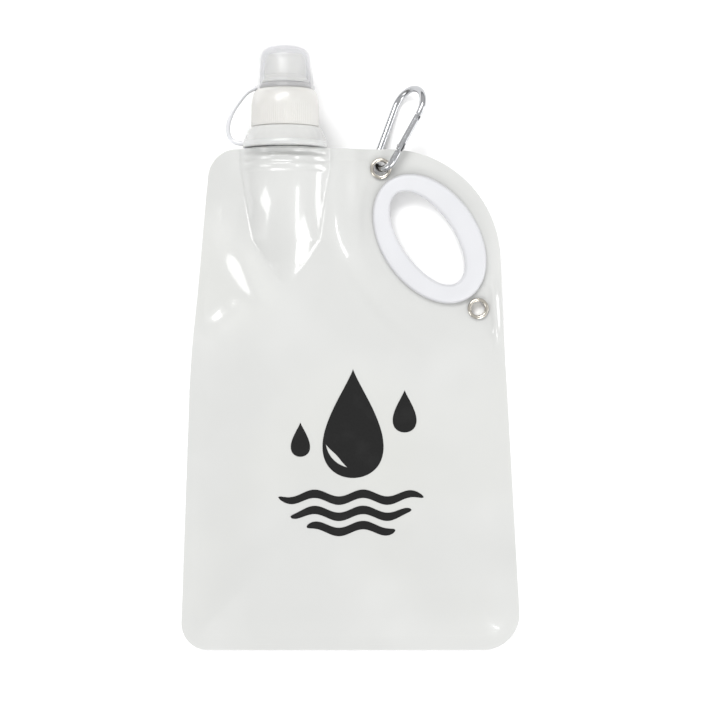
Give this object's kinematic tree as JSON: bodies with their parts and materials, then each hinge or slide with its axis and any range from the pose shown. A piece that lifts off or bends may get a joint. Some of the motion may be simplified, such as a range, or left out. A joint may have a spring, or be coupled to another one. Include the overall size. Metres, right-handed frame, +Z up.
{
  "type": "folding water bottle",
  "caption": "Flat translucent film pouch that folds in sections, with a push-pull spout cap, tethered clear dust cap, oval handle ring, eyelets and a spring-gate carabiner",
  "frame": {"origin": "on the surface that the bottle lies on, under the middle of its outline", "axes": "+Z up from that surface, +Y along the bottle towards its cap, +X towards the handle's side"},
  "size_m": [0.1674, 0.297, 0.0412],
  "materials": {
    "frosted_film": "translucent glossy film",
    "cap_plastic": "moulded, satin",
    "clear_plastic": "clear moulded",
    "handle_plastic": "moulded, matte",
    "liner_foam": "soft foam",
    "nickel_plate": "bright plated",
    "polished_aluminium": "polished",
    "spring_steel": "bright wire"
  },
  "bodies": {
    "pouch_upper": {"front_film_upper": "frosted_film", "back_film_upper": "frosted_film", "spout_fitment": "clear_plastic", "handle_ring_front": "handle_plastic", "handle_ring_back": "handle_plastic", "eyelet_upper": "nickel_plate", "eyelet_washer_upper": "nickel_plate", "eyelet_lower": "nickel_plate", "eyelet_washer_lower": "nickel_plate"},
    "pouch_middle": {"front_film_middle": "frosted_film", "back_film_middle": "frosted_film"},
    "pouch_lower": {"front_film_lower": "frosted_film", "back_film_lower": "frosted_film", "base_gusset": "frosted_film"},
    "liner": {"cap_liner": "liner_foam"},
    "cap": {"screw_cap": "cap_plastic"},
    "nozzle": {"nozzle": "cap_plastic"},
    "tether": {"tether_ring": "clear_plastic", "tether_strap": "clear_plastic"},
    "dust_cap": {"dust_cap": "clear_plastic"},
    "carabiner": {"carabiner_frame": "polished_aluminium", "gate_rivet": "spring_steel", "latch_pin": "spring_steel"},
    "gate": {"carabiner_gate": "polished_aluminium", "gate_spring": "spring_steel"}
  },
  "joints": [
    {"name": "fold_upper", "type": "hinge", "parent": "pouch_upper", "child": "pouch_middle", "pos_m": [0, -0.0407, 0.0069], "axis": [-1, 0, 0], "range_deg": [0, 180]},
    {"name": "fold_lower", "type": "hinge", "parent": "pouch_middle", "child": "pouch_lower", "pos_m": [0, -0.0954, -0.0003], "axis": [1, 0, 0], "range_deg": [0, 180]},
    {"name": "cap_rise", "type": "slide", "parent": "pouch_upper", "child": "liner", "axis": [0, 1, 0], "range_m": [0, 0.01002]},
    {"name": "cap_unscrew", "type": "hinge", "parent": "liner", "child": "cap", "pos_m": [-0.0319, 0.0984, 0.0206], "axis": [0, 1, 0], "range_deg": [0, 900]},
    {"name": "nozzle_pull", "type": "slide", "parent": "cap", "child": "nozzle", "axis": [0, 1, 0], "range_m": [0, 0.003]},
    {"name": "tether_swivel", "type": "hinge", "parent": "cap", "child": "tether", "pos_m": [-0.0319, 0.0984, 0.0206], "axis": [0, 1, 0], "continuous": true},
    {"name": "dust_cap_pull", "type": "slide", "parent": "tether", "child": "dust_cap", "axis": [0, 1, 0], "range_m": [0, 0.028], "deforming": ["tether_strap"]},
    {"name": "carabiner_swing", "type": "hinge", "parent": "pouch_upper", "child": "carabiner", "pos_m": [0.01455, 0.08934, 0.01027], "axis": [0.0517, -0.0732, 0.996], "range_deg": [-45, 20]},
    {"name": "gate_open", "type": "hinge", "parent": "carabiner", "child": "gate", "pos_m": [0.02435, 0.09942, 0.01655], "axis": [-0.7267, 0.3312, 0.6018], "range_deg": [0, 28], "stiffness_Nm_per_rad": 0.02, "springref_deg": -11.46}
  ],
  "couplings": [
    {"joint": "fold_lower", "follows": "fold_upper", "ratio": 1},
    {"joint": "cap_rise", "follows": "cap_unscrew", "m_per_rad": 0.00063662}
  ]
}
